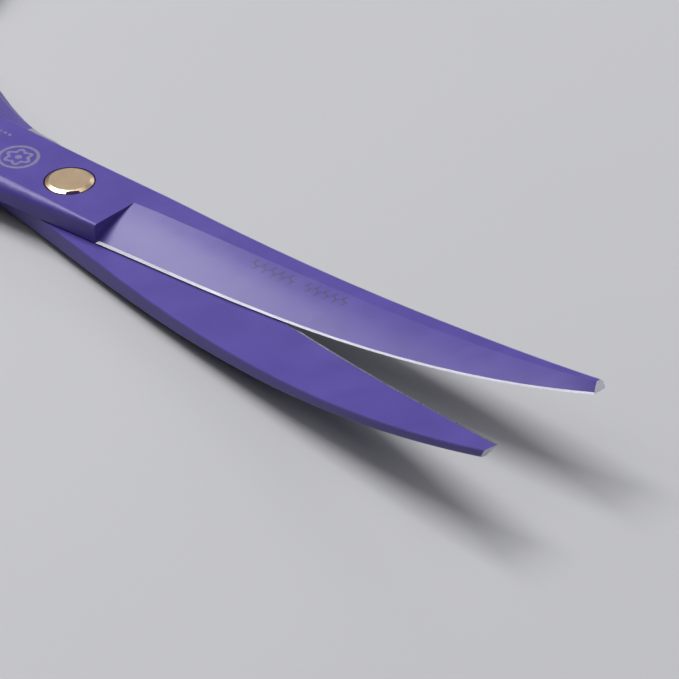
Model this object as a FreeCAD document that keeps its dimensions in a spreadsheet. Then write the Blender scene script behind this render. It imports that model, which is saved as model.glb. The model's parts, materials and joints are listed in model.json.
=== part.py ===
"""Curved grooming shears: two forged halves on an adjustable pivot screw, with blades that bend upwards.

Row frame, millimetres: the origin is on the pivot axis at the face the shears rest on, +X runs to the
blade tips midway between the two halves, +Y is to the left of that and +Z is up.

Each half is drawn closed, in its own blade frame: u runs from the pivot to the tip, w runs out to the side
that holds the half's cutting edge and its finger ring, and y runs out from the plane where the halves meet.
The upper half has w along -Y and y along +Z, and the lower half has w along +Y and y along -Z.
Both are then turned about the pivot by half of the opening angle.
"""

import FreeCAD, Part
import math
import os
from FreeCAD import Placement, Rotation, Vector

SIZES = {
    # overall
    "half_thickness": 3.1,
    "rest_gap": 1.0,
    "ride_gap": 0.2,
    "opening_angle": 10.3,
    # blade
    "blade_reach": 102.0,
    "shoulder": 11.0,
    "bend_start": 22.0,
    "bend_radius": 306.0,
    "tip_thickness": 1.5,
    "tip_lean": 0.55,
    "taper_start": 13.0,
    "taper_power": 1.3,
    "land_heel": 0.36,
    "land_width": 0.26,
    "land_slope": 0.85,
    "land_run": 45.0,
    "hone_width": 0.3,
    "hone_drop": 0.04,
    "ground_radius": 30.0,
    "edge_round": 0.5,
    # ride, the flat around the pivot
    "ride_radius": 20.3,
    "step_radius": 20.6,
    "ramp_run": 6.6,
    # handle
    "shank_round": 1.8,
    "waist_at": 19.0,
    "waist_in": 3.9,
    "waist_radius": 26.0,
    "waist_slant": 42.0,
    "ring_bore": 11.6,
    "ring_outer": 15.6,
    "ring_offset": 17.0,
    "thumb_reach": 64.0,
    "finger_reach": 72.0,
    "crotch_radius": 8.0,
    "shank_outer": 8.7,
    "shank_inner": 0.5,
    # ring inserts
    "insert_bore": 10.3,
    "insert_flange": 12.8,
    "insert_round": 0.35,
    # pivot
    "head_radius": 3.5,
    "head_recess": 3.75,
    "head_seat": 0.9,
    "head_proud": 0.3,
    "head_bevel": 0.55,
    "bevel_height": 0.3,
    "journal_radius": 2.5,
    "running_gap": 0.03,
    "stud_radius": 1.6,
    "notch_width": 1.9,
    "notch_depth": 0.4,
    "notch_bearing": 37.0,
    "bush_radius": 3.1,
    "nut_radius": 3.7,
    "nut_pocket": 3.9,
    "pocket_depth": 1.7,
    "nut_height": 2.0,
    "nut_cap": 0.6,
    "nut_round": 0.35,
    "lock_radius": 2.3,
    "lock_height": 0.6,
    "spanner_hole": 0.5,
    "spanner_reach": 2.3,
    "key_height": 0.5,
    "spring_sheet": 0.3,
    "spring_radius": 3.5,
    "washer_radius": 5.0,
    # bumper
    "bumper_reach": 62.0,
    "bumper_radius": 2.3,
    "bumper_proud": 2.3,
    "bumper_seat": 0.5,
    "bumper_stud": 1.2,
    "bumper_depth": 3.6,
    "bumper_skin": 1.0,
    "bumper_round": 0.7,
    # finger rest
    "rest_root": 2.3,
    "rest_end": 1.7,
    "rest_ball": 2.3,
    "rest_stud": 1.25,
    "rest_bite": 2.6,
    "rest_sink": 1.2,
    "rest_length": 24.0,
    "rest_bearing": 152.0,
    "rest_curl": 40.0,
}

# Blade outline in plan, as (u, w): the cutting edge, the spine, and the ridge between band and ground face.
EDGE_LINE = [(11.0, 6.0), (30.0, 4.95), (50.0, 4.3), (70.0, 3.5), (86.0, 2.4), (102.0, 0.5)]
SPINE_LINE = [(11.0, -6.35), (30.0, -6.6), (50.0, -6.4), (70.0, -5.5), (86.0, -4.0), (102.0, -1.8)]
RIDGE_LINE = [(11.0, -1.9), (28.0, -3.3), (46.0, -3.8), (66.0, -3.2), (85.0, -2.1), (102.0, -0.8)]
STATIONS = [11.0, 15.0, 22.0, 30.0, 40.0, 50.0, 60.0, 70.0, 80.0, 89.0, 96.0, 102.0]
# Outer side of the ride and the shank in plan, from the shoulder back towards the ring.
OUTER_LINE = [(11.0, 6.0), (0.0, 6.6), (-9.0, 7.05), (-15.0, 7.3), (-20.5, 7.25), (-28.0, 7.2)]
SPINE_AT_PIVOT = -6.2

doc = FreeCAD.newDocument("shears")
sheet = doc.addObject("Spreadsheet::Sheet", "Sizes")
for row, (alias, value) in enumerate(SIZES.items(), start=1):
    sheet.set(f"A{row}", alias)
    sheet.set(f"B{row}", str(value))
    sheet.setAlias(f"B{row}", alias)
doc.recompute()


def size(alias):
    """A driving dimension, read back from the sheet."""
    return float(sheet.get(alias))


MID = size("rest_gap") + size("half_thickness")
PARTS = {}


def add(kind, name, expressions=None, **properties):
    """A document object with its properties set, and others bound to expressions over the sheet."""
    obj = doc.addObject(kind, name)
    for key, value in properties.items():
        setattr(obj, key, value)
    for key, expression in (expressions or {}).items():
        obj.setExpression(key, expression)
    return obj


def feature(name, shape):
    """A document object that holds a shape worked out here."""
    obj = doc.addObject("Part::Feature", name)
    obj.Shape = shape
    return obj


def cylinder(name, radius, bottom, top, u="0", v="0"):
    """A cylinder about Z through (u, v) between two heights, all four given as expressions."""
    sizes = {
        "Radius": radius,
        "Height": f"({top}) - ({bottom})",
        "Placement.Base.x": u,
        "Placement.Base.y": v,
        "Placement.Base.z": bottom,
    }
    return add("Part::Cylinder", name, sizes)


def cut(name, base, *tools):
    """base with each tool cut from it in turn."""
    for number, tool in enumerate(tools, start=1):
        base = add("Part::Cut", f"{name}_{number}", Base=base, Tool=tool)
    return base


def keep(obj, node, side):
    """Names obj as the sub-part that parts/NODE.step holds, and turns it to the rest pose with its half."""
    obj.Label = node
    obj.Placement = Placement(Vector(), Rotation(Vector(0, 0, 1), side.turn)) * obj.Placement
    PARTS[node] = obj
    return obj


class Side:
    """One half's blade frame in the closed shears, and its turn to the rest pose."""

    def __init__(self, name, out, ring_reach):
        self.name = name
        self.out = out
        self.facing = -out
        self.reach_cell = ring_reach
        self.ring_reach = size(ring_reach)
        self.turn = -out * size("opening_angle") / 2

    def at(self, u, w, y=0.0):
        return Vector(u, self.out * w, MID + self.facing * y)

    def flat(self, u, w):
        """A point in the plane of the underside of the ride."""
        return Vector(u, self.out * w, size("rest_gap"))


UPPER = Side("upper", out=-1, ring_reach="thumb_reach")
LOWER = Side("lower", out=1, ring_reach="finger_reach")
BOTTOM_Z = "Sizes.rest_gap"
MID_Z = "Sizes.rest_gap + Sizes.half_thickness"
TOP_Z = "Sizes.rest_gap + 2 * Sizes.half_thickness"
UPPER_RIDE_Z = f"{MID_Z} + Sizes.ride_gap / 2"
LOWER_RIDE_Z = f"{MID_Z} - Sizes.ride_gap / 2"


def curve_through(points, **tangents):
    curve = Part.BSplineCurve()
    curve.interpolate(Points=points, **tangents)
    return curve


def value_at(line, u):
    """The ordinate at u of the smooth curve through a (u, value) line."""
    curve = curve_through([Vector(a, b, 0) for a, b in line])
    low, high = curve.FirstParameter, curve.LastParameter
    for _ in range(50):
        middle = (low + high) / 2
        if curve.value(middle).x < u:
            low = middle
        else:
            high = middle
    return curve.value(middle).y


def bend(reach):
    """How far the plane where the blades meet has risen at this distance from the pivot."""
    run = max(reach - size("bend_start"), 0.0)
    radius = size("bend_radius")
    return radius - math.sqrt(radius**2 - run**2)


def thickness(reach):
    """Thickness of the spine band above that plane."""
    start = size("taper_start")
    left = 1 - max(reach - start, 0.0) / (size("blade_reach") - start)
    tip = size("tip_thickness")
    return tip + (size("half_thickness") - tip) * left ** size("taper_power")


# ---------------------------------------------------------------- the two forged halves


def blade_section(side, u):
    """Cross-section of the blade: land, convex ground face, band, spine, inner face and hone line."""
    edge, spine, ridge = (value_at(line, u) for line in (EDGE_LINE, SPINE_LINE, RIDGE_LINE))
    top = thickness(u)
    gap = size("ride_gap") / 2
    soft = size("edge_round")
    break_in = soft / 4

    def point(w, y):
        return side.at(u, w, y + side.facing * bend(math.hypot(u, w)))

    heel_share = max(1 - (u - size("shoulder")) / size("land_run"), 0.0)
    land_width = size("land_width") + (size("land_heel") - size("land_width")) * heel_share
    land = point(edge - land_width, gap + size("hone_drop") + land_width * size("land_slope"))
    ridge_point = point(ridge, top)
    across = ridge_point - land
    outward = Vector(0, -across.z, across.y).normalize()
    if outward.z * side.facing < 0:
        outward = outward * -1
    crown = (land + ridge_point) * 0.5 + outward * (across.Length**2 / (8 * size("ground_radius")))
    corner = soft * (1 - math.sqrt(0.5))
    round_points = (
        point(spine + soft, top),
        point(spine + corner, top - corner),
        point(spine, top - soft),
    )
    foot = point(spine, gap + break_in)
    heel = point(spine + break_in, gap)
    hone = point(edge - size("hone_width"), gap)
    tip = point(edge, gap + size("hone_drop"))
    edges = [
        Part.makeLine(tip, land),
        Part.Arc(land, crown, ridge_point).toShape(),
        Part.makeLine(ridge_point, round_points[0]),
        Part.Arc(*round_points).toShape(),
        Part.makeLine(round_points[2], foot),
        Part.makeLine(foot, heel),
        Part.makeLine(heel, hone),
        Part.makeLine(hone, tip),
    ]
    return Part.Wire(edges)


def blade(side):
    """The blade of one half, from the shoulder to its blunt tip."""
    sections = [blade_section(side, u) for u in STATIONS]
    return feature(f"{side.name}_blade", Part.makeLoft(sections, True, False))


def tip_grind(side):
    """The block that grinds the blunt tip back from its inner corner."""
    reach, block = size("blade_reach"), size("shoulder")
    corner = side.at(reach, 0, side.facing * bend(reach))
    lean = Rotation(Vector(0, 1, 0), -side.facing * math.degrees(math.atan(size("tip_lean"))))
    sizes = {"Length": "Sizes.shoulder", "Width": "2 * Sizes.shoulder", "Height": "2 * Sizes.shoulder"}
    grind = add("Part::Box", f"{side.name}_tip_grind", sizes)
    grind.Placement = Placement(corner, lean) * Placement(Vector(0, -block, -block), Rotation())
    return grind


def plate_outline(side):
    """Plan of the ride, shank and ring, and the points that name its rounded rims."""
    flat = side.flat
    ring_u, ring_w = -side.ring_reach, size("ring_offset")
    ring, crotch = size("ring_outer"), size("crotch_radius")
    shank_w = size("shank_outer")
    rise = shank_w + crotch - ring_w
    crotch_u = ring_u + math.sqrt((ring + crotch) ** 2 - rise**2)
    touch = (
        ring_u + ring * (crotch_u - ring_u) / (ring + crotch),
        ring_w + ring * rise / (ring + crotch),
    )
    diagonal = crotch * math.sqrt(0.5)
    outer_points = [flat(u, w) for u, w in OUTER_LINE] + [flat(crotch_u, shank_w)]
    heading = outer_points[1] - outer_points[0]
    outer = curve_through(outer_points, InitialTangent=heading, FinalTangent=Vector(-heading.Length, 0, 0))
    ride_end, shank_start = (outer.parameter(flat(*OUTER_LINE[index])) for index in (3, 4))
    crotch_arc = Part.Arc(
        flat(crotch_u, shank_w), flat(crotch_u - diagonal, shank_w + crotch - diagonal), flat(*touch)
    )
    ring_arc = Part.Arc(flat(*touch), flat(ring_u - ring, ring_w), flat(ring_u, ring_w - ring))
    back = size("ride_radius")
    inner_start = flat(ring_u, ring_w - ring)
    inner_end = flat(-math.sqrt(back**2 - size("shank_inner") ** 2), size("shank_inner"))
    along = Vector((inner_end - inner_start).Length, 0, 0)
    inner = curve_through([inner_start, inner_end], InitialTangent=along, FinalTangent=along)
    half_back = SPINE_AT_PIVOT / 2
    back_corner = flat(-math.sqrt(back**2 - SPINE_AT_PIVOT**2), SPINE_AT_PIVOT)
    back_arc = Part.Arc(inner_end, flat(-math.sqrt(back**2 - half_back**2), half_back), back_corner)
    spine_start, spine_end = flat(0.0, SPINE_AT_PIVOT), flat(*SPINE_LINE[0])
    edges = [
        outer.toShape(outer.FirstParameter, ride_end),
        outer.toShape(ride_end, shank_start),
        outer.toShape(shank_start, outer.LastParameter),
        crotch_arc.toShape(),
        ring_arc.toShape(),
        inner.toShape(),
        back_arc.toShape(),
        Part.makeLine(back_corner, spine_start),
        Part.makeLine(spine_start, spine_end),
        Part.makeLine(spine_end, flat(*OUTER_LINE[0])),
    ]
    soft, full = size("edge_round"), size("shank_round")
    radii = [(soft, soft), (full, soft), (full, full), (full, full), (full, full), (full, full)]
    radii += [None, (soft, soft), (soft, soft), None]
    rims = [(edge, *pair) for edge, pair in zip(edges, radii) if pair]
    return Part.Face(Part.Wire(edges)), [(middle_of(edge), first, last) for edge, first, last in rims]


def middle_of(edge):
    return edge.valueAt((edge.FirstParameter + edge.LastParameter) / 2)


def rims_through(shape, rims, heights):
    """The level edges of shape above each rim point, numbered for a fillet, with their two radii."""
    picked = []
    for point, first, last in rims:
        for height in heights:
            vertex = Part.Vertex(Vector(point.x, point.y, height))
            for number, edge in enumerate(shape.Edges, start=1):
                if edge.BoundBox.ZLength < 1e-6 and edge.distToShape(vertex)[0] < 1e-4:
                    picked.append((number, first, last))
    return picked


def plate(side):
    """The ride, shank and ring of one half, with rounded edges, before its bores."""
    name = side.name
    face, rims = plate_outline(side)
    outline = feature(f"{name}_outline", face)
    blank = add(
        "Part::Extrusion",
        f"{name}_blank",
        {"LengthFwd": "2 * Sizes.half_thickness"},
        Base=outline,
        DirMode="Custom",
        Dir=Vector(0, 0, 1),
        Solid=True,
    )
    ring_v = "Sizes.ring_offset" if side.out > 0 else "-Sizes.ring_offset"
    ring_u = f"-Sizes.{side.reach_cell}"
    bore = cylinder(f"{name}_ring_bore", "Sizes.ring_bore", "0", f"{TOP_Z} + 1", ring_u, ring_v)
    bored = cut(f"{name}_bored", blank, bore)
    doc.recompute()
    bottom = size("rest_gap")
    top = bottom + 2 * size("half_thickness")
    bore_rim = side.flat(-side.ring_reach + size("ring_bore"), size("ring_offset"))
    rims.append((bore_rim, size("shank_round"), size("shank_round")))
    rounded = add("Part::Fillet", f"{name}_plate", Base=bored)
    rounded.Edges = rims_through(bored.Shape, rims, (bottom, top))
    return rounded


def ramp(side):
    """The cone that clears the other half's ride and leaves the shank's root as a ramp behind it."""
    far, near = "Sizes.step_radius + 2 * Sizes.ramp_run", "Sizes.step_radius"
    if side.facing > 0:
        first, last, bottom = far, near, f"{UPPER_RIDE_Z} - 2 * Sizes.half_thickness"
    else:
        first, last, bottom = near, far, LOWER_RIDE_Z
    sizes = {
        "Radius1": first,
        "Radius2": last,
        "Height": "2 * Sizes.half_thickness",
        "Placement.Base.z": bottom,
    }
    return add("Part::Cone", f"{side.name}_ramp", sizes)


def waist(side):
    """A leaning round cutter that slims the outer corner of the shank beside the ramp."""
    slant, radius = math.radians(size("waist_slant")), size("waist_radius")
    deepest = side.at(-size("waist_at"), size("waist_in"), -size("half_thickness"))
    middle = deepest + Vector(0, side.out * radius / math.cos(slant), 0)
    along = Vector(0, -math.sin(slant), math.cos(slant)) * side.out
    sizes = {"Radius": "Sizes.waist_radius", "Height": "4 * Sizes.waist_radius"}
    cutter = add("Part::Cylinder", f"{side.name}_waist", sizes)
    cutter.Placement = Placement(middle - along * (2 * radius), Rotation(Vector(0, 0, 1), along))
    return cutter


def forged_half(side):
    """One half: the plate, thinned to its ride for the other half, and the blade."""
    thinned = cut(f"{side.name}_thinned", plate(side), ramp(side), waist(side))
    joined = add("Part::Fuse", f"{side.name}_joined", Base=thinned, Tool=blade(side), Refine=False)
    return cut(f"{side.name}_forging", joined, tip_grind(side))


def drilled(side, tools):
    """Cuts the bores and seats of one half and names it."""
    return keep(cut(f"{side.name}_drilled", forged[side], *tools), f"{side.name}_half", side)


# ---------------------------------------------------------------- pivot

HEAD_SEAT_Z = f"{TOP_Z} - Sizes.head_seat"
POCKET_Z = f"{BOTTOM_Z} + Sizes.pocket_depth"


def rim_box(name, bottom, top, extra):
    """A radial block across the rim of the screw head, at the bearing of its notch."""
    outer = size("head_recess") + extra
    inner = size("head_radius") - size("notch_depth")
    width = size("notch_width") + extra
    block = add("Part::Box", name, {"Height": f"({top}) - ({bottom})"}, Length=outer - inner, Width=width)
    turn = Placement(Vector(), Rotation(Vector(0, 0, 1), -size("notch_bearing")))
    block.Placement = turn * Placement(Vector(inner, -width / 2, 0), Rotation())
    block.setExpression("Placement.Base.z", bottom)
    return block


def round_rims(name, base, radius, heights, reaches):
    """Rounds the circular edges of base that lie at one of the heights and have one of the radii."""
    doc.recompute()
    picked = []
    for number, edge in enumerate(base.Shape.Edges, start=1):
        circle = isinstance(edge.Curve, Part.Circle)
        if circle and any(abs(edge.BoundBox.ZMin - z) < 1e-6 for z in heights):
            if any(abs(edge.Curve.Radius - r) < 1e-6 for r in reaches):
                picked.append((number, radius, radius))
    rounded = add("Part::Fillet", name, Base=base)
    rounded.Edges = picked
    return rounded


def pivot_screw():
    """The screw: a flat bevelled head with one notch in its rim, a plain journal and a threaded stud."""
    head_top = f"{TOP_Z} + Sizes.head_proud"
    disc = cylinder("screw_disc", "Sizes.head_radius", HEAD_SEAT_Z, f"{head_top} - Sizes.bevel_height")
    bevel_sizes = {
        "Radius1": "Sizes.head_radius",
        "Radius2": "Sizes.head_radius - Sizes.head_bevel",
        "Height": "Sizes.bevel_height",
        "Placement.Base.z": f"{head_top} - Sizes.bevel_height",
    }
    head = add("Part::Fuse", "screw_head", Base=disc, Tool=add("Part::Cone", "screw_bevel", bevel_sizes))
    notch = rim_box("screw_notch", f"{HEAD_SEAT_Z} - 0.1", f"{head_top} + 0.1", 0.1)
    head = cut("screw_notched", head, notch)
    journal = cylinder("screw_journal", "Sizes.journal_radius", POCKET_Z, HEAD_SEAT_Z)
    stud = cylinder("screw_stud", "Sizes.stud_radius", "Sizes.nut_cap + 0.15", POCKET_Z)
    shaft = add("Part::Fuse", "screw_shaft", Base=journal, Tool=stud)
    return keep(add("Part::Fuse", "screw", Base=head, Tool=shaft), "pivot_screw", UPPER)


def pivot_bushing():
    outer = cylinder("bush_outer", "Sizes.bush_radius", POCKET_Z, LOWER_RIDE_Z)
    bore = cylinder("bush_bore", "Sizes.journal_radius + Sizes.running_gap", POCKET_Z, LOWER_RIDE_Z)
    return keep(cut("bush", outer, bore), "pivot_bushing", LOWER)


def ride_washer():
    """The thin slip washer between the two rides."""
    top = f"{UPPER_RIDE_Z} - Sizes.running_gap"
    outer = cylinder("washer_outer", "Sizes.washer_radius", LOWER_RIDE_Z, top)
    bore = cylinder("washer_bore", "Sizes.journal_radius + 2 * Sizes.running_gap", LOWER_RIDE_Z, top)
    return keep(cut("washer", outer, bore), "ride_washer", LOWER)


def spring_washer():
    """The dished spring between the nut and the ceiling of its pocket."""
    inner, outer = size("stud_radius") + 0.15, size("spring_radius")
    low = size("nut_height") + size("running_gap")
    high = size("rest_gap") + size("pocket_depth")
    sheet_rise = size("spring_sheet")
    corners = [
        Vector(inner, 0, low),
        Vector(outer, 0, high - sheet_rise),
        Vector(outer, 0, high),
        Vector(inner, 0, low + sheet_rise),
    ]
    section = Part.Face(Part.makePolygon(corners + corners[:1]))
    dish = section.revolve(Vector(), Vector(0, 0, 1), 360)
    return keep(feature("spring_dish", dish), "spring_washer", LOWER)


def tension_nut():
    """The capped adjusting nut, with a groove for its locking ring and two holes for a pin spanner."""
    body = cylinder("nut_body", "Sizes.nut_radius", "0", "Sizes.nut_height")
    body = round_rims("nut_rims", body, size("nut_round"), [0.0, size("nut_height")], [size("nut_radius")])
    thread = cylinder(
        "nut_thread", "Sizes.stud_radius + Sizes.running_gap", "Sizes.nut_cap", "Sizes.nut_height + 1"
    )
    groove_floor = "Sizes.nut_height - Sizes.lock_height"
    groove = cylinder("nut_groove", "Sizes.lock_radius", groove_floor, "Sizes.nut_height + 1")
    holes = [
        cylinder(f"nut_hole_{number}", "Sizes.spanner_hole", "-1", "Sizes.nut_cap / 2", u=reach)
        for number, reach in enumerate(("Sizes.spanner_reach", "-Sizes.spanner_reach"), start=1)
    ]
    return keep(cut("nut", body, thread, groove, *holes), "tension_nut", UPPER)


def nut_lock_ring():
    """The nylon ring in the nut that grips the stud's thread."""
    bottom, top = "Sizes.nut_height - Sizes.lock_height", "Sizes.nut_height"
    outer = cylinder("lock_outer", "Sizes.lock_radius", bottom, top)
    bore = cylinder("lock_bore", "Sizes.stud_radius + Sizes.running_gap", bottom, top)
    return keep(cut("lock_ring", outer, bore), "nut_lock_ring", UPPER)


# ---------------------------------------------------------------- ring inserts, bumper and finger rest


def ring_insert(side, node):
    """The soft sizing ring in a finger ring: a sleeve with a flange on each face of the ring."""
    name = side.name
    ring_v = "Sizes.ring_offset" if side.out > 0 else "-Sizes.ring_offset"
    ring_u = f"-Sizes.{side.reach_cell}"
    top = f"{TOP_Z} + {BOTTOM_Z}"
    sleeve = cylinder(f"{name}_insert_outer", "Sizes.insert_flange", "0", top, ring_u, ring_v)
    hole = cylinder(f"{name}_insert_bore", "Sizes.insert_bore", "0", top, ring_u, ring_v)
    ring = cut(f"{name}_insert_ring", sleeve, hole)
    doc.recompute()
    rims = (ring.Shape.BoundBox.ZMin, ring.Shape.BoundBox.ZMax)
    reaches = (size("insert_flange"), size("insert_bore"))
    ring = round_rims(f"{name}_insert_rims", ring, size("insert_round"), rims, reaches)
    return keep(cut(f"{name}_insert", ring, forged[side]), node, side)


def across(name, radius, start_w, end_w, u):
    """A cylinder of the lower half, across its length at mid height, between two offsets."""
    rod = add("Part::Cylinder", name, {"Radius": radius}, Height=abs(end_w - start_w))
    heading = Vector(0, math.copysign(1, end_w - start_w), 0)
    rod.Placement = Placement(Vector(u, start_w, MID), Rotation(Vector(0, 0, 1), heading))
    return rod


def bumper():
    """The stop between the handles and its stud, and the seat and hole that they need in the lower half."""
    u = -size("bumper_reach")
    outline = plate_outline(LOWER)[0]
    ray = Part.makeLine(LOWER.flat(u, -30), LOWER.flat(u, 30))
    inner_w = outline.common(ray).BoundBox.YMin
    seat_w = inner_w + size("bumper_seat")
    face_w = inner_w - size("bumper_proud")
    deep_w = seat_w + size("bumper_depth")
    stud_w = face_w + size("bumper_skin")
    pad = across("bumper_blank", "Sizes.bumper_radius", seat_w, face_w, u)
    doc.recompute()
    dome = add("Part::Fillet", "bumper_dome", Base=pad)
    far_rims = [
        (number, size("bumper_round"), size("bumper_round"))
        for number, edge in enumerate(pad.Shape.Edges, start=1)
        if edge.BoundBox.YLength < 1e-6 and abs(edge.BoundBox.YMin - face_w) < 1e-6
    ]
    dome.Edges = far_rims
    stud = across("bumper_stud_rod", "Sizes.bumper_stud", deep_w, stud_w, u)
    keep(cut("bumper_drilled", dome, stud), "bumper_pad", LOWER)
    keep(across("bumper_stud_kept", "Sizes.bumper_stud", deep_w, stud_w, u), "bumper_stud", LOWER)
    seat = across("bumper_seat_hole", "Sizes.bumper_radius", seat_w, face_w, u)
    return [seat, stud]


def finger_rest():
    """The curved rest on the lower half's ring and its stud, and the hole that the stud needs."""
    centre = LOWER.at(-size("finger_reach"), size("ring_offset"))
    bearing = math.radians(size("rest_bearing"))
    outward = Vector(math.cos(bearing), math.sin(bearing), 0)
    curl = math.radians(size("rest_curl"))
    radius = size("rest_length") / curl
    root = centre + outward * (size("ring_outer") - size("rest_sink"))
    hub = root + Vector(outward.y, -outward.x, 0) * -radius

    def rib(share):
        """The round section of the rest at this share of its length, and its centre."""
        turn = Rotation(Vector(0, 0, 1), math.degrees(curl) * share)
        place = hub + turn.multVec(root - hub)
        thick = size("rest_root") + (size("rest_end") - size("rest_root")) * share
        return Part.Wire(Part.Circle(place, turn.multVec(outward), thick).toShape()), place

    ribs = [rib(step / 6) for step in range(7)]
    tang = Part.makeLoft([wire for wire, _ in ribs], True, False)
    ball = Part.makeSphere(size("rest_ball"), ribs[-1][1])
    horn = feature("rest_horn", tang.fuse(ball))
    saddle = cut("rest_saddle", horn, forged[LOWER])
    start = centre + outward * (size("ring_outer") - size("rest_bite"))
    stud = add("Part::Cylinder", "rest_stud_rod", {"Radius": "Sizes.rest_stud", "Height": "Sizes.rest_bite"})
    stud.Placement = Placement(start, Rotation(Vector(0, 0, 1), outward))
    keep(add("Part::Fuse", "rest_with_stud", Base=saddle, Tool=stud), "finger_rest", LOWER)
    return [stud]


# ---------------------------------------------------------------- assembly

forged = {side: forged_half(side) for side in (UPPER, LOWER)}
pivot_screw()
pivot_bushing()
ride_washer()
spring_washer()
tension_nut()
nut_lock_ring()
ring_insert(UPPER, "thumb_ring_insert")
ring_insert(LOWER, "finger_ring_insert")
head_recess = cylinder("head_recess_hole", "Sizes.head_recess", HEAD_SEAT_Z, f"{TOP_Z} + 1")
head_key = rim_box("head_key", f"{HEAD_SEAT_Z} - 0.2", f"{HEAD_SEAT_Z} + Sizes.key_height", 0.0)
journal_hole = cylinder("journal_hole", "Sizes.journal_radius", "0", f"{TOP_Z} + 1")
drilled(UPPER, [cut("keyed_recess", head_recess, head_key), journal_hole])
bush_hole = cylinder("bush_hole", "Sizes.bush_radius", "0", f"{TOP_Z} + 1")
nut_pocket = cylinder("nut_pocket_hole", "Sizes.nut_pocket", "0", POCKET_Z)
drilled(LOWER, [bush_hole, nut_pocket, *bumper(), *finger_rest()])

doc.recompute()
for obj in doc.Objects:
    if "Invalid" in obj.State or "Error" in obj.State:
        raise RuntimeError(f"{obj.Name} failed: {obj.State}")
os.makedirs("parts", exist_ok=True)
for node, obj in PARTS.items():
    if obj.Shape.isNull() or not obj.Shape.isValid() or len(obj.Shape.Solids) != 1:
        raise RuntimeError(f"{node} is not one valid solid")
    obj.Shape.exportStep(f"parts/{node}.step")
    print(node, round(obj.Shape.Volume, 1))
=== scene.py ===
"""Looks for the curved grooming shears: finishes, ornaments, floor, light and camera around the CAD frame."""

import json
import math

import bpy
from mathutils import Matrix, Quaternion, Vector


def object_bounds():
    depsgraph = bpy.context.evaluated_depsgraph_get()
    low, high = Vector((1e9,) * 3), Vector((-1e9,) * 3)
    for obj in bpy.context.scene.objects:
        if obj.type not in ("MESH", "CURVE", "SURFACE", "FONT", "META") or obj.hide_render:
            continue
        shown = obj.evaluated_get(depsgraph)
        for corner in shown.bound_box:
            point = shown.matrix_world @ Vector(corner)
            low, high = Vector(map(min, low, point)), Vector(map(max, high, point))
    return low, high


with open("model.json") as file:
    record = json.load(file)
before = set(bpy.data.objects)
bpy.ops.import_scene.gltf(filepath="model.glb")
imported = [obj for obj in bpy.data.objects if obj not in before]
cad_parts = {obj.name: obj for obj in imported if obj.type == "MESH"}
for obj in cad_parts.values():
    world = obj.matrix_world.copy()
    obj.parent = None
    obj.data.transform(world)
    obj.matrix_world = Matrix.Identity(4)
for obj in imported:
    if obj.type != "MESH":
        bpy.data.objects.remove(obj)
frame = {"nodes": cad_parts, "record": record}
cad_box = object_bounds()

MM = 0.001


def joint_named(name):
    """The record's entry for a joint."""
    return next(j for j in frame["record"]["behaviour"]["joints"] if j["name"] == name)


PIVOT = joint_named("blade_pivot")
HALF_TURN = math.radians(-PIVOT["range_deg"][0]) / 2
PIVOT_Z = PIVOT["pos_m"][2]
NODES = {name: bpy.data.objects[name] for name in frame["nodes"]}
# Each half's own frame: its turn about the pivot and the side of its cutting edge.
HALVES = {
    "upper_half": {"turn": HALF_TURN, "out": -1},
    "lower_half": {"turn": -HALF_TURN, "out": 1},
}


# ---------------------------------------------------------------- material building blocks


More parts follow.
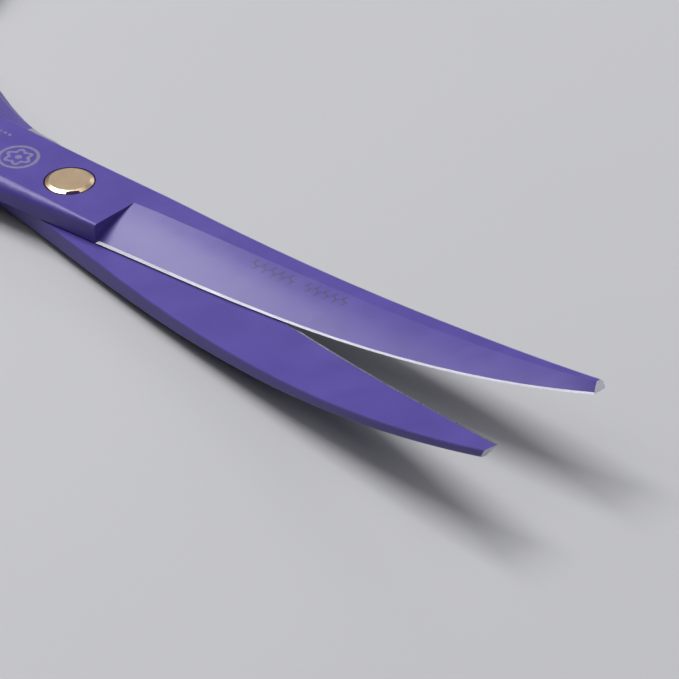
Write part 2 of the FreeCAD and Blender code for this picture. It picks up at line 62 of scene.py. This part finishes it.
class Nodes:
    """A node material under construction, with short calls for the nodes that the finishes share."""

    def __init__(self, name):
        self.material = bpy.data.materials.new(name)
        self.material.use_nodes = True
        self.tree = self.material.node_tree
        self.shader = self.tree.nodes["Principled BSDF"]
        self.position = self.add("ShaderNodeTexCoord").outputs["Object"]

    def add(self, kind, inputs=None, **settings):
        node = self.tree.nodes.new(kind)
        for key, value in settings.items():
            setattr(node, key, value)
        for key, value in (inputs or {}).items():
            self.feed(node.inputs[key], value)
        return node

    def feed(self, socket, value):
        if isinstance(value, bpy.types.NodeSocket):
            self.tree.links.new(value, socket)
        else:
            socket.default_value = value

    def set(self, **sockets):
        """Sets or links inputs of the surface shader, named with underscores for spaces."""
        for key, value in sockets.items():
            self.feed(self.shader.inputs[key.replace("_", " ")], value)

    def math(self, operation, a, b=0.0):
        return self.add("ShaderNodeMath", {0: a, 1: b}, operation=operation).outputs[0]

    def mapping(self, scale=(1, 1, 1), turn=0.0):
        inputs = {"Vector": self.position, "Rotation": (0, 0, turn), "Scale": scale}
        return self.add("ShaderNodeMapping", inputs).outputs[0]

    def noise(self, size, detail=4.0, stretch=(1, 1, 1), turn=0.0, rough=0.55):
        """Noise whose features are about size metres across, drawn out along stretch."""
        scale = tuple(1 / (size * part) for part in stretch)
        inputs = {"Vector": self.mapping(scale, turn), "Scale": 1.0, "Detail": detail, "Roughness": rough}
        return self.add("ShaderNodeTexNoise", inputs).outputs["Fac"]

    def ramp(self, value, low, high, start=0.0, end=1.0):
        """A number that runs from start to end as value runs from low to high."""
        inputs = {"Value": value, "From Min": low, "From Max": high, "To Min": start, "To Max": end}
        return self.add("ShaderNodeMapRange", inputs, clamp=True).outputs[0]

    def mix(self, factor, a, b):
        node = self.add("ShaderNodeMix", data_type="RGBA")
        self.feed(node.inputs[0], factor)
        self.feed(node.inputs[6], a)
        self.feed(node.inputs[7], b)
        return node.outputs[2]

    def blend(self, factor, a, b):
        """A number that runs from a to b with the factor."""
        node = self.add("ShaderNodeMix", data_type="FLOAT")
        self.feed(node.inputs[0], factor)
        self.feed(node.inputs[2], a)
        self.feed(node.inputs[3], b)
        return node.outputs[0]

    def bump(self, height, strength, distance):
        inputs = {"Height": height, "Strength": strength, "Distance": distance}
        return self.add("ShaderNodeBump", inputs).outputs[0]

    def axes(self, turn=0.0):
        """Object coordinates turned back to a half's own frame, as three separate numbers in metres."""
        parts = self.add("ShaderNodeSeparateXYZ", {0: self.mapping(turn=-turn)})
        return parts.outputs[0], parts.outputs[1], parts.outputs[2]

    def reach(self, x, y):
        """Distance from the origin of x and y."""
        return self.math("SQRT", self.math("ADD", self.math("MULTIPLY", x, x), self.math("MULTIPLY", y, y)))

    def stroke(self, distance, width):
        """1 on a line of this width where the signed distance is zero, with soft sides."""
        return self.ramp(self.math("ABSOLUTE", distance), 0.35 * width, 0.65 * width, 1.0, 0.0)

    def within(self, value, low, high, soft):
        """1 between two limits, with soft ends."""
        rise = self.ramp(value, low - soft, low + soft)
        return self.math("MULTIPLY", rise, self.ramp(value, high - soft, high + soft, 1.0, 0.0))

    def most(self, *masks):
        """The largest of several masks."""
        total = masks[0]
        for mask in masks[1:]:
            total = self.math("MAXIMUM", total, mask)
        return total


def rgb(r, g, b):
    """Shader colour from 8-bit screen values."""
    linear = [((v / 255 + 0.055) / 1.055) ** 2.4 if v > 10 else v / 255 / 12.92 for v in (r, g, b)]
    return (*linear, 1.0)


VIOLET_DEEP, VIOLET, VIOLET_SPECK = rgb(66, 54, 126), rgb(71, 59, 133), rgb(92, 80, 150)
WORN_DARK, WORN_STEEL = rgb(112, 111, 120), rgb(150, 149, 156)
PALE_PRINT, GREY_PRINT = rgb(122, 118, 134), rgb(42, 40, 52)


def coating(name, turn=0.0, printed=(), bare=None):
    """Violet satin coating with prints on it, and with worn steel where the mask from bare is 1."""
    n = Nodes(name)
    cloud = n.noise(7 * MM, 3.0)
    grain = n.noise(0.14 * MM, 2.0, stretch=(1, 6, 1), turn=-turn)
    speck = n.noise(0.05 * MM, 1.0)
    scuff = n.noise(0.5 * MM, 5.0, stretch=(1, 9, 1), turn=-turn + 0.5, rough=0.7)
    colour = n.mix(n.ramp(cloud, 0.35, 0.65), VIOLET_DEEP, VIOLET)
    colour = n.mix(n.ramp(speck, 0.62, 0.8, 0.0, 0.3), colour, VIOLET_SPECK)
    colour = n.mix(n.ramp(scuff, 0.66, 0.8, 0.0, 0.35), colour, VIOLET_SPECK)
    rough = n.math("ADD", n.ramp(grain, 0.3, 0.7, 0.34, 0.4), n.ramp(cloud, 0.3, 0.7, -0.02, 0.02))
    for make_mask, tone in printed:
        mask = make_mask(n, turn)
        patchy = n.math("MULTIPLY", mask, n.ramp(n.noise(0.3 * MM, 2.0), 0.3, 0.65, 0.35, 0.85))
        colour = n.mix(patchy, colour, tone)
    if bare:
        mask, steel_tone = bare(n, turn)
        colour = n.mix(mask, colour, steel_tone)
        rough = n.blend(mask, rough, 0.44)
        n.set(Metallic=n.blend(mask, 0.0, 0.4))
    n.set(Base_Color=colour, Roughness=rough, Specular_IOR_Level=0.34)
    n.set(Normal=n.bump(n.blend(0.5, grain, speck), 0.16, 0.01 * MM))
    return n


def worn_ride(n, turn):
    """The ride's bare steel and its tone: the arc behind the pivot that the other half has rubbed."""
    x, y, _ = n.axes(turn)
    starts_at, soft, ring_size = 11.5 * MM, 0.3 * MM, 0.16 * MM
    reach = n.reach(x, y)
    inputs = {"W": n.math("DIVIDE", reach, ring_size), "Scale": 1.0, "Detail": 3.0}
    rings = n.add("ShaderNodeTexNoise", inputs, noise_dimensions="1D").outputs["Fac"]
    ragged = n.math("ADD", reach, n.ramp(n.noise(0.8 * MM, 3.0), 0.3, 0.7, -soft, soft))
    behind = n.ramp(x, -1 * MM, 0.0, 1.0, 0.0)
    mask = n.math("MULTIPLY", n.ramp(ragged, starts_at - soft, starts_at + soft), behind)
    return mask, n.mix(n.ramp(rings, 0.3, 0.7), WORN_DARK, WORN_STEEL)


def emblem(n, turn):
    """A ring round a six-petal rosette with a dot in it, and three dots in a row behind it."""
    centre_x, centre_y = -10.1 * MM, -0.2 * MM
    ring_radius, ring_width = 2.85 * MM, 0.5 * MM
    petals, petal_reach, petal_depth, petal_width = 6, 1.65 * MM, 0.28 * MM, 0.55 * MM
    row_start, row_end, row_height = -7.1 * MM, -4.8 * MM, 3.4 * MM
    dot_gap, first_gap = 0.9 * MM, -5.7 * MM
    x, y, _ = n.axes(turn)
    x, y = n.math("SUBTRACT", x, centre_x), n.math("SUBTRACT", y, centre_y)
    reach = n.reach(x, y)
    ring = n.stroke(n.math("SUBTRACT", reach, ring_radius), ring_width)
    lobes = n.math("COSINE", n.math("MULTIPLY", n.math("ARCTAN2", y, x), petals))
    rosette = n.math("ADD", n.math("MULTIPLY", lobes, petal_depth), petal_reach)
    rosette = n.stroke(n.math("SUBTRACT", reach, rosette), petal_width)
    heart = n.ramp(reach, 0.45 * MM, 0.6 * MM, 1.0, 0.0)
    row = n.math("PINGPONG", n.math("SUBTRACT", x, first_gap), dot_gap / 2)
    dots = n.reach(n.math("SUBTRACT", row, dot_gap / 2), n.math("SUBTRACT", y, row_height))
    in_row = n.within(x, row_start, row_end, 0.02 * MM)
    dots = n.math("MULTIPLY", n.ramp(dots, 0.2 * MM, 0.32 * MM, 1.0, 0.0), in_row)
    return n.most(ring, rosette, heart, dots)


def vine(n, turn):
    """A fine vine in two lengths along the blade: a wavy stem with slim leaning leaves on both sides."""
    middle_x, middle_y, slope = 42 * MM, 2.1 * MM, 0.012
    period, swing, stem_width = 1.7 * MM, 0.2 * MM, 0.24 * MM
    leaf_at, leaf_lean, leaf_slimness = 0.55 * MM, 0.4, 0.4
    x, y, z = n.axes(turn)
    drift = n.math("MULTIPLY", n.math("SUBTRACT", x, middle_x), slope)
    y = n.math("SUBTRACT", n.math("SUBTRACT", y, middle_y), drift)
    stem = n.math("MULTIPLY", n.math("SINE", n.math("MULTIPLY", x, 2 * math.pi / period)), swing)
    marks = n.stroke(n.math("SUBTRACT", y, stem), stem_width)
    along = n.math("FLOORED_MODULO", x, period)
    for side, share in ((1, 0.25), (-1, 0.75)):
        up = n.math("SUBTRACT", y, side * leaf_at)
        across = n.math("SUBTRACT", along, share * period)
        across = n.math("SUBTRACT", across, n.math("MULTIPLY", up, leaf_lean))
        leaf = n.reach(across, n.math("MULTIPLY", up, leaf_slimness))
        marks = n.most(marks, n.ramp(leaf, 0.14 * MM, 0.24 * MM, 1.0, 0.0))
    lengths = [n.within(x, low * MM, high * MM, 0.1 * MM) for low, high in ((34.0, 42.5), (44.2, 52.7))]
    outer_face = n.ramp(z, PIVOT_Z, PIVOT_Z + 1 * MM)
    return n.math("MULTIPLY", n.math("MULTIPLY", marks, n.most(*lengths)), outer_face)


def steel(name, tone=(206, 206, 214), rough=(0.2, 0.3), turn=0.0):
    """Bare steel, ground in one direction."""
    n = Nodes(name)
    grind = n.noise(0.12 * MM, 3.0, stretch=(1, 12, 1), turn=-turn)
    cloud = n.noise(4 * MM, 3.0)
    dark = (*(0.86 * part for part in rgb(*tone)[:3]), 1.0)
    n.set(Base_Color=n.mix(n.ramp(cloud, 0.3, 0.7), dark, rgb(*tone)), Metallic=1.0)
    n.set(Roughness=n.ramp(grind, 0.3, 0.7, *rough), Normal=n.bump(grind, 0.25, 0.008 * MM))
    return n


def gold(name):
    """Pale gold plating, turned on a lathe: fine rings about the pivot."""
    n = Nodes(name)
    x, y, _ = n.axes()
    ring_pitch = 0.11 * MM
    rings = n.math("SINE", n.math("MULTIPLY", n.reach(x, y), 2 * math.pi / ring_pitch))
    grain = n.noise(0.09 * MM, 2.0)
    cloud = n.noise(2.2 * MM, 3.0)
    colour = n.mix(n.ramp(cloud, 0.3, 0.7), rgb(206, 180, 148), rgb(218, 193, 160))
    n.set(Base_Color=colour, Metallic=1.0, Roughness=n.ramp(grain, 0.3, 0.7, 0.3, 0.4))
    n.set(Normal=n.bump(n.blend(0.6, rings, grain), 0.12, 0.01 * MM))
    return n


def soft_rubber(name):
    """Dull grey-violet rubber of the ring inserts and the bumper."""
    n = Nodes(name)
    grain = n.noise(0.22 * MM, 4.0)
    cloud = n.noise(5 * MM, 2.0)
    n.set(Base_Color=n.mix(n.ramp(cloud, 0.3, 0.7), rgb(64, 58, 88), rgb(74, 68, 100)))
    n.set(Roughness=n.ramp(grain, 0.3, 0.7, 0.52, 0.66), Normal=n.bump(grain, 0.35, 0.03 * MM))
    return n


def slip_plastic(name):
    """Off-white slippery plastic of the washer and the lock ring."""
    n = Nodes(name)
    grain = n.noise(0.3 * MM, 4.0)
    n.set(Base_Color=n.mix(n.ramp(grain, 0.3, 0.7), rgb(216, 215, 208), rgb(232, 231, 225)))
    n.set(Roughness=n.ramp(grain, 0.3, 0.7, 0.4, 0.55), Normal=n.bump(grain, 0.2, 0.02 * MM))
    return n


# ---------------------------------------------------------------- finishes on the CAD pieces


def give(obj, *builders):
    """Fills the material slots of an object, one for each finish."""
    obj.data.materials.clear()
    for builder in builders:
        obj.data.materials.append(builder.material)


# The finish slots of a half, and where its blade starts and its blunt tip begins, from the pivot.
COATED, RIDE, EDGE = 0, 1, 2
SHOULDER, TIP = 10.9 * MM, 100.5 * MM


def patches_of(mesh):
    """The CAD faces of a mesh, each as a list of its polygons: no two CAD faces share a vertex."""
    leader = list(range(len(mesh.vertices)))

    def lead(vertex):
        while leader[vertex] != vertex:
            leader[vertex] = leader[leader[vertex]]
            vertex = leader[vertex]
        return vertex

    for polygon in mesh.polygons:
        for vertex in polygon.vertices[1:]:
            leader[lead(vertex)] = lead(polygon.vertices[0])
    patches = {}
    for polygon in mesh.polygons:
        patches.setdefault(lead(polygon.vertices[0]), []).append(polygon)
    return list(patches.values())


def zones_of(mesh, half):
    """The finish of each polygon of a half: coating, the worn ride, or the bare edge and blunt tip."""
    turn = Matrix.Rotation(-half["turn"], 3, "Z")
    zones = [COATED] * len(mesh.polygons)
    for patch in patches_of(mesh):
        corners = [turn @ mesh.vertices[vertex].co for polygon in patch for vertex in polygon.vertices]
        nearest = min(corner.x for corner in corners)
        cutting_side = min(half["out"] * corner.y for corner in corners) > 0
        level = all(abs(polygon.normal.z) > 0.99 for polygon in patch)
        at_ride = max(abs(corner.z - PIVOT_Z) for corner in corners) < 0.2 * MM
        if nearest > TIP or (nearest > SHOULDER and cutting_side):
            zone = EDGE
        elif level and at_ride:
            zone = RIDE
        else:
            zone = COATED
        for polygon in patch:
            zones[polygon.index] = zone
    return zones


PRINTS = {"upper_half": ((emblem, PALE_PRINT), (vine, GREY_PRINT)), "lower_half": ()}
for name, half in HALVES.items():
    obj = NODES[name]
    violet = coating(f"{name}_coating", half["turn"], printed=PRINTS[name])
    ride = coating(f"{name}_ride", half["turn"], bare=worn_ride)
    bare = steel(f"{name}_bare", tone=(178, 177, 188), rough=(0.24, 0.34), turn=half["turn"])
    give(obj, violet, ride, bare)
    obj.data.polygons.foreach_set("material_index", zones_of(obj.data, half))

shared_coating = coating("violet_coating")
gold_plate = gold("gold_plate")
bright_steel = steel("bright_steel")
rubber = soft_rubber("soft_rubber")
plastic = slip_plastic("slip_plastic")
FINISHES = {
    "finger_rest": shared_coating,
    "pivot_screw": gold_plate,
    "tension_nut": gold_plate,
    "pivot_bushing": bright_steel,
    "spring_washer": bright_steel,
    "bumper_stud": bright_steel,
    "ride_washer": plastic,
    "nut_lock_ring": plastic,
    "thumb_ring_insert": rubber,
    "finger_ring_insert": rubber,
    "bumper_pad": rubber,
}
for node, finish in FINISHES.items():
    give(NODES[node], finish)


# ---------------------------------------------------------------- floor, light and camera


def floor():
    """A wide sheet of pale matt paper under the shears."""
    low, high = cad_box
    width = 60 * (high - low).length
    bpy.ops.mesh.primitive_plane_add(size=width, location=(0, 0, low.z))
    plane = bpy.context.object
    plane.name = "floor"
    n = Nodes("floor_paper")
    cloud = n.noise(300 * MM, 3.0)
    n.set(Base_Color=n.mix(n.ramp(cloud, 0.3, 0.7), rgb(156, 156, 160), rgb(161, 161, 164)))
    n.set(Roughness=0.75)
    plane.data.materials.append(n.material)


def heading(azimuth, elevation):
    """Unit vector from the shears towards a bearing in degrees: azimuth 0 is the front, 90 the right."""
    a, e = math.radians(azimuth), math.radians(elevation)
    return Vector((math.sin(a) * math.cos(e), -math.cos(a) * math.cos(e), math.sin(e)))


def area_light(name, azimuth, elevation, size, energy):
    """A soft panel that looks at the middle of the blades from this bearing."""
    aim, distance = Vector((40 * MM, 0.0, 5 * MM)), 1.2
    back = heading(azimuth, elevation)
    data = bpy.data.lights.new(name, "AREA")
    data.shape = "RECTANGLE"
    data.size, data.size_y = size
    data.energy = energy
    light = bpy.data.objects.new(name, data)
    light.location = aim + back * distance
    light.rotation_euler = (-back).to_track_quat("-Z", "Y").to_euler()
    bpy.context.scene.collection.objects.link(light)


def studio():
    """A dim even surround, a strong key behind the left, weak panels for the edges, and a soft ceiling."""
    world = bpy.data.worlds.new("studio")
    world.use_nodes = True
    background = world.node_tree.nodes["Background"]
    background.inputs["Color"].default_value = (0.9, 0.92, 1.0, 1.0)
    background.inputs["Strength"].default_value = 0.1
    bpy.context.scene.world = world
    area_light("key", 272, 62, (0.65, 0.7), 16.2)
    area_light("side", 308, 38, (0.35, 0.35), 1.0)
    area_light("rim", 125, 26, (0.5, 0.5), 2.4)
    area_light("back", 206, 24, (0.8, 0.35), 1.8)
    area_light("ceiling", 60, 87, (1.5, 1.5), 8.0)


def camera():
    """A long lens from the right front, looking down on the blades."""
    distance, focal, roll = 1.5443, 591.4, math.radians(-2.35)
    aim = Vector((54.21 * MM, 3.51 * MM, PIVOT_Z))
    back = heading(50.5, 32.6)
    data = bpy.data.cameras.new("camera")
    data.sensor_width, data.lens = 36.0, focal
    data.clip_start, data.clip_end = 0.05, 20.0
    view = bpy.data.objects.new("camera", data)
    view.location = aim + back * distance
    view.rotation_mode = "QUATERNION"
    view.rotation_quaternion = (-back).to_track_quat("-Z", "Y") @ Quaternion((0, 0, 1), roll)
    bpy.context.scene.collection.objects.link(view)
    bpy.context.scene.camera = view


floor()
studio()
camera()
bpy.context.scene.view_settings.view_transform = "Standard"
